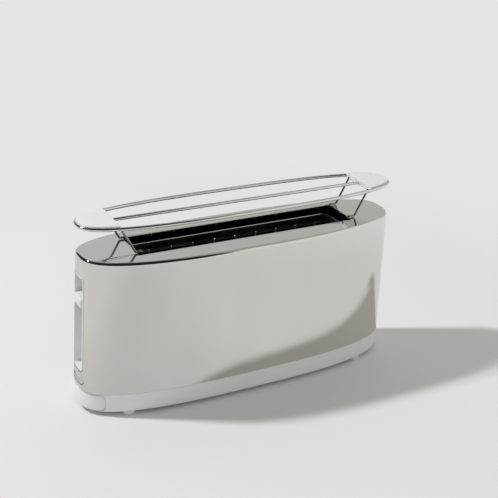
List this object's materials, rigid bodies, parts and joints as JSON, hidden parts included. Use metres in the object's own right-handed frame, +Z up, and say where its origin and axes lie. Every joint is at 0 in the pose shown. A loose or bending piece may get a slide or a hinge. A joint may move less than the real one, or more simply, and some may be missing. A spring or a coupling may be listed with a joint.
{
  "type": "toaster",
  "caption": "Long-slot toaster: oval polished steel body on a white base, lever in a recess at one end, slide-out crumb tray and lift-off wire bun rack.",
  "frame": {"origin": "on the ground, under the middle of the body", "axes": "+Z up, X along the body with the lever's end at -X, -Y the long side that the picture shows"},
  "size_m": [0.3798, 0.104, 0.2159],
  "materials": {
    "white_plastic": "satin",
    "polished_steel": "mirror polished",
    "satin_steel": "satin",
    "grey_rubber": "matte",
    "mica": "matte",
    "board_green": "satin",
    "black_plastic": "matte",
    "copper": "satin"
  },
  "bodies": {
    "housing": {"base": "white_plastic", "base_screw_back_left": "satin_steel", "base_screw_back_right": "satin_steel", "base_screw_front_left": "satin_steel", "base_screw_front_right": "satin_steel", "body_sleeve": "polished_steel", "bread_guard_back": "satin_steel", "bread_guard_front": "satin_steel", "circuit_board": "board_green", "control_panel": "white_plastic", "cord_gland": "grey_rubber", "end_plate_left": "satin_steel", "end_plate_right": "satin_steel", "foot_back_left": "grey_rubber", "foot_back_right": "grey_rubber", "foot_front_left": "grey_rubber", "foot_front_right": "grey_rubber", "guide_rod_left": "satin_steel", "guide_rod_right": "satin_steel", "heater_board_back": "mica", "heater_board_front": "mica", "holding_magnet": "copper", "reflector_back": "satin_steel", "reflector_front": "satin_steel", "return_spring": "satin_steel", "slider_pot": "black_plastic", "slot_frame": "satin_steel", "top_plate": "polished_steel"},
    "carriage": {"carriage": "satin_steel", "lever_knob": "white_plastic", "latch_armature": "satin_steel", "bread_carrier": "satin_steel", "carrier_runner": "black_plastic"},
    "slider": {"browning_slider": "white_plastic"},
    "tray": {"crumb_tray": "satin_steel", "tray_front": "white_plastic"},
    "rack": {"rack_grip_left": "white_plastic", "rack_grip_right": "white_plastic", "rack_leg_left": "polished_steel", "rack_leg_right": "polished_steel", "rack_rim": "polished_steel", "rack_rod": "polished_steel"}
  },
  "joints": [
    {"name": "carriage_slide", "type": "slide", "parent": "housing", "child": "carriage", "axis": [0, 0, 1], "range_m": [-0.07, 0.014], "stiffness_N_per_m": 60, "springref_m": 0.0139, "deforming": ["return_spring"]},
    {"name": "browning_slide", "type": "slide", "parent": "housing", "child": "slider", "axis": [0, 1, 0], "range_m": [0, 0.016]},
    {"name": "tray_slide", "type": "slide", "parent": "housing", "child": "tray", "axis": [-1, 0, 0], "range_m": [0, 0.25]},
    {"name": "rack_lift", "type": "slide", "parent": "housing", "child": "rack", "axis": [0, 0, 1], "range_m": [0, 0.06]}
  ]
}
